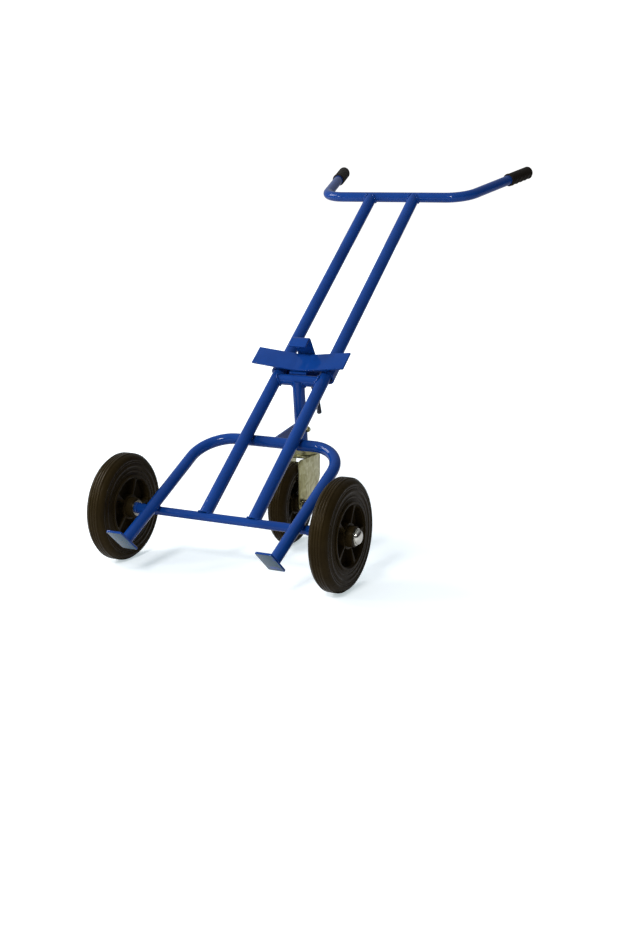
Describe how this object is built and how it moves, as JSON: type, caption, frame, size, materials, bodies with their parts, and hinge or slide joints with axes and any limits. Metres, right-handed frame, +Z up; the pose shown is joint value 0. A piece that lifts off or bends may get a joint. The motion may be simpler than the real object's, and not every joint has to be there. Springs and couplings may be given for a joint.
{
  "type": "drum trolley",
  "caption": "Drum trolley: leaning tube frame with foot plates, a saddle and rim hook that slide and clamp on the uprights, large wheels, a swivel castor behind and a handlebar with grips.",
  "frame": {"origin": "middle of the bounding box, on the floor", "axes": "+Z up, +Y back towards the handles, X along the axle"},
  "size_m": [0.6558, 1.3772, 0.9],
  "materials": {
    "blue_paint": "gloss",
    "tyre_rubber": "satin",
    "black_plastic": "satin",
    "grip_rubber": "matte",
    "bearing_bronze": "satin",
    "bright_zinc": "polished",
    "yellow_zinc": "satin",
    "dark_steel": "satin"
  },
  "bodies": {
    "frame": {"axle_bar": "blue_paint", "left_axle_sleeve": "blue_paint", "right_axle_sleeve": "blue_paint", "axle_washers": "bright_zinc", "left_axle_cap": "bright_zinc", "right_axle_cap": "bright_zinc", "left_upright": "blue_paint", "right_upright": "blue_paint", "upper_cross_tube": "blue_paint", "handlebar": "blue_paint", "left_grip": "grip_rubber", "right_grip": "grip_rubber", "lower_loop": "blue_paint", "left_foot_plate": "blue_paint", "right_foot_plate": "blue_paint", "castor_post": "blue_paint", "castor_gusset": "blue_paint", "castor_socket": "bright_zinc", "castor_cross_bolt": "yellow_zinc", "castor_cross_nut": "yellow_zinc", "castor_stem": "yellow_zinc", "castor_ball_cup": "yellow_zinc"},
    "left_wheel": {"left_tyre": "tyre_rubber", "left_wheel_centre": "black_plastic", "left_bearing": "bearing_bronze"},
    "right_wheel": {"right_tyre": "tyre_rubber", "right_wheel_centre": "black_plastic", "right_bearing": "bearing_bronze"},
    "castor_swivel": {"castor_fork": "yellow_zinc", "castor_balls": "bright_zinc", "castor_axle_bolt": "yellow_zinc", "castor_axle_nut": "yellow_zinc", "castor_spacers": "bright_zinc"},
    "castor_wheel": {"castor_tyre": "tyre_rubber", "castor_wheel_centre": "black_plastic", "castor_bearing": "bearing_bronze"},
    "carriage": {"carriage_band": "blue_paint", "saddle_bar": "blue_paint", "chime_hook": "blue_paint", "clamp_nut": "bright_zinc"},
    "clamp_plate": {"clamp_plate": "blue_paint"},
    "clamp_screw": {"clamp_screw": "dark_steel"}
  },
  "joints": [
    {"name": "left_wheel_spin", "type": "hinge", "parent": "frame", "child": "left_wheel", "pos_m": [-0.28, -0.51197, 0.125], "axis": [1, 0, 0], "continuous": true},
    {"name": "right_wheel_spin", "type": "hinge", "parent": "frame", "child": "right_wheel", "pos_m": [0.28, -0.51197, 0.125], "axis": [1, 0, 0], "continuous": true},
    {"name": "castor_turn", "type": "hinge", "parent": "frame", "child": "castor_swivel", "pos_m": [0, -0.15198, 0.206], "axis": [0, 0, 1], "continuous": true},
    {"name": "castor_wheel_spin", "type": "hinge", "parent": "castor_swivel", "child": "castor_wheel", "pos_m": [0.00474, -0.21981, 0.1], "axis": [0.9976, 0.0698, 0], "continuous": true},
    {"name": "carriage_slide", "type": "slide", "parent": "frame", "child": "carriage", "axis": [0, 0.7934, 0.6088], "range_m": [0, 0.6]},
    {"name": "clamp_plate_press", "type": "slide", "parent": "carriage", "child": "clamp_plate", "axis": [0, 0.6088, -0.7934], "range_m": [0, 0.000876]},
    {"name": "clamp_screw_turn", "type": "hinge", "parent": "clamp_plate", "child": "clamp_screw", "pos_m": [0, -0.09384, 0.37021], "axis": [0, 0.6088, -0.7934], "range_deg": [0, 180]}
  ],
  "couplings": [
    {"joint": "clamp_plate_press", "follows": "clamp_screw_turn", "m_per_rad": 0.00027852}
  ]
}
